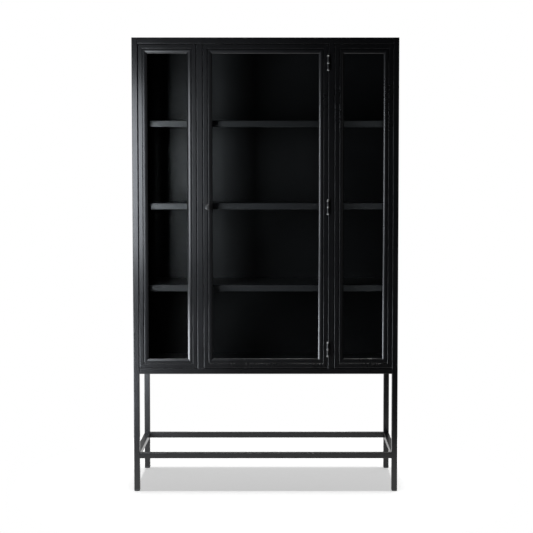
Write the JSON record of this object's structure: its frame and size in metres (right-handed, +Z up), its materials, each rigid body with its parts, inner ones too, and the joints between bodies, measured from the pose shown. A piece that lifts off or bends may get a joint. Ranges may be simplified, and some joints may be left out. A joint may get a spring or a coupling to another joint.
{
  "type": "display cabinet",
  "caption": "Tall black steel display cabinet on an open square-tube stand, with a hinged glazed door between fixed glazed sashes, folded shelves and solid sides and back.",
  "frame": {"origin": "on the floor, under the middle of the bounding box, knob included", "axes": "+X to the right of someone facing the door, -Y out of the front, +Z up"},
  "size_m": [1.17, 0.4824, 2.005],
  "materials": {
    "frame_paint": "satin black powder coat on welded steel tube",
    "sash_paint": "satin black powder coat on rolled sections and mouldings",
    "panel_paint": "satin black powder coat on flat sheet steel",
    "shelf_paint": "satin black powder coat on folded sheet steel",
    "glass": "clear float glass with polished edges",
    "gasket_rubber": "matt black glazing tape",
    "hinge_metal": "blackened steel, rubbed brighter on the balls and rings",
    "knob_metal": "blackened cast iron, slightly polished on the crown",
    "screw_metal": "black-oxide steel",
    "glide_plastic": "moulded black polyethylene",
    "catch_plastic": "moulded black nylon",
    "magnet": "dark ferrite block between steel pole plates",
    "strike_steel": "bright zinc-plated steel"
  },
  "bodies": {
    "cabinet": {"post_front_left": "frame_paint", "post_front_right": "frame_paint", "post_rear_left": "frame_paint", "post_rear_right": "frame_paint", "top_rail_front": "frame_paint", "top_rail_rear": "frame_paint", "top_rail_left": "frame_paint", "top_rail_right": "frame_paint", "bottom_rail_front": "frame_paint", "bottom_rail_rear": "frame_paint", "bottom_rail_left": "frame_paint", "bottom_rail_right": "frame_paint", "stretcher_front": "frame_paint", "stretcher_rear": "frame_paint", "stretcher_left": "frame_paint", "stretcher_right": "frame_paint", "mullion_left": "frame_paint", "mullion_right": "frame_paint", "left_sash_frame": "sash_paint", "left_sash_moulding": "sash_paint", "right_sash_frame": "sash_paint", "right_sash_moulding": "sash_paint", "left_sash_glazing_strips": "sash_paint", "right_sash_glazing_strips": "sash_paint", "sash_fixing_plates": "sash_paint", "top_panel": "panel_paint", "bottom_panel": "panel_paint", "back_panel": "panel_paint", "side_panel_left": "panel_paint", "side_panel_right": "panel_paint", "shelf_lower": "shelf_paint", "shelf_middle": "shelf_paint", "shelf_upper": "shelf_paint", "shelf_cleats": "shelf_paint", "left_sash_glass": "glass", "right_sash_glass": "glass", "left_sash_gasket": "gasket_rubber", "right_sash_gasket": "gasket_rubber", "hinge_frame_leaves": "hinge_metal", "hinge_pins": "hinge_metal", "hinge_rings": "hinge_metal", "back_panel_screws": "screw_metal", "sash_screws": "screw_metal", "catch_screws": "screw_metal", "foot_glides": "glide_plastic", "catch_housings": "catch_plastic", "catch_magnets": "magnet"},
    "door": {"door_stile_latch": "sash_paint", "door_stile_hinge": "sash_paint", "door_rail_top": "sash_paint", "door_rail_bottom": "sash_paint", "door_moulding": "sash_paint", "door_gasket": "gasket_rubber", "door_glass": "glass", "door_glazing_strips": "sash_paint", "door_screws": "screw_metal", "door_strike_plates": "strike_steel", "knob": "knob_metal", "knob_screw": "screw_metal", "hinge_door_leaves": "hinge_metal"}
  },
  "joints": [
    {"name": "door_hinge", "type": "hinge", "parent": "cabinet", "child": "door", "pos_m": [0.2745, -0.2229, 1.26475], "axis": [0, 0, 1], "range_deg": [0, 180]}
  ]
}
